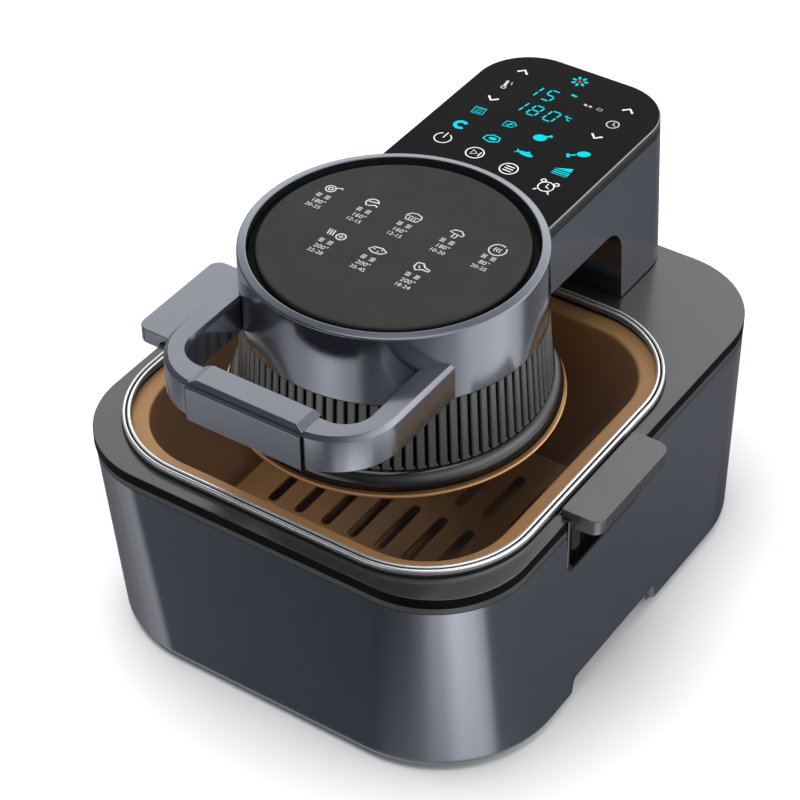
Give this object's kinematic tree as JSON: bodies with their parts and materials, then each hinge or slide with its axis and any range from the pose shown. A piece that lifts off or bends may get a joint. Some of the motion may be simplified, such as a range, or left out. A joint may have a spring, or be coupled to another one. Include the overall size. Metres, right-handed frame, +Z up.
{
  "type": "deep fryer",
  "caption": "Hot-air deep fryer with a square lift-out pot, a hinged glass lid, a round fan head, a front D-handle and a rear touch panel tower.",
  "frame": {"origin": "centre of the overall footprint, on the surface that it stands on", "axes": "+X to the object's right seen from the front, +Y to the rear hinge, +Z up; the front with the D-handle faces -Y"},
  "size_m": [0.341, 0.3856, 0.2703],
  "materials": {
    "slate_paint": "satin slate blue-grey, slightly metallic",
    "handle_slate": "satin light slate, slightly metallic",
    "deck_black": "polished black with soft reflections",
    "trim_grey": "satin grey trim line",
    "gloss_black": "glossy black",
    "black_plastic": "fine moulded texture",
    "grille_grey": "dark grey moulded slats",
    "menu_face": "fine matt dark grey with printed symbols",
    "touch_glass": "smooth black touch surface with lit symbols",
    "pot_handle_grey": "satin grey moulding",
    "bronze_coating": "bronze non-stick coating",
    "copper": "polished copper tone",
    "chrome": "mirror polished",
    "liner_steel": "plain sheet steel",
    "heater_steel": "heat-tinted sheath",
    "hinge_steel": "brushed steel",
    "screw_steel": "zinc plated",
    "clear_glass": "clear tempered glass",
    "rubber": "matt black rubber",
    "circuit_board": "green board with parts"
  },
  "bodies": {
    "base": {"outer_housing": "slate_paint", "bottom_plate": "black_plastic", "deck_plate": "deck_black", "deck_trim_front": "trim_grey", "deck_trim_rear": "trim_grey", "inner_liner": "liner_steel", "cord_gland": "rubber", "terminal_block": "black_plastic", "lid_sensor": "black_plastic", "hinge_leaf": "hinge_steel", "hinge_pin": "hinge_steel", "pot": "bronze_coating", "crisper_plate": "bronze_coating", "foot_1": "rubber", "foot_2": "rubber", "foot_3": "rubber", "foot_4": "rubber", "pot_bracket_left": "black_plastic", "pot_handle_left": "handle_slate", "handle_screw_left": "screw_steel", "hinge_screw_left": "screw_steel", "pot_bracket_right": "black_plastic", "pot_handle_right": "pot_handle_grey", "handle_screw_right": "screw_steel", "hinge_screw_right": "screw_steel"},
    "lid": {"lid_rim": "chrome", "glass_lid": "clear_glass", "lid_gasket": "rubber", "clamp_ring": "liner_steel", "reflector_ring": "copper", "head_flange": "gloss_black", "grille_ring": "grille_grey", "fan_drum": "black_plastic", "head_shell": "slate_paint", "head_cap": "black_plastic", "menu_disc": "menu_face", "heat_shield": "liner_steel", "motor_bracket": "liner_steel", "fan_motor": "liner_steel", "heating_element": "heater_steel", "fan_guard": "liner_steel", "temperature_probe": "heater_steel", "handle_frame": "handle_slate", "handle_grip": "handle_slate", "tower_shell": "slate_paint", "tower_base_plate": "hinge_steel", "tower_cover": "black_plastic", "panel_bezel": "gloss_black", "control_panel": "touch_glass", "touch_board": "circuit_board", "power_board": "circuit_board", "cover_screw_lower": "screw_steel", "cover_screw_upper": "screw_steel", "grip_screw_left": "screw_steel", "grip_screw_right": "screw_steel"},
    "rotor": {"fan_shaft": "hinge_steel", "convection_fan": "liner_steel", "cooling_fan": "black_plastic"}
  },
  "joints": [
    {"name": "lid_hinge", "type": "hinge", "parent": "base", "child": "lid", "pos_m": [0, 0.18565, 0.1636], "axis": [-1, 0, 0], "range_deg": [0, 80]},
    {"name": "fan_spin", "type": "hinge", "parent": "lid", "child": "rotor", "pos_m": [0, -0.04035, 0.21], "axis": [0, 0, 1], "continuous": true}
  ]
}
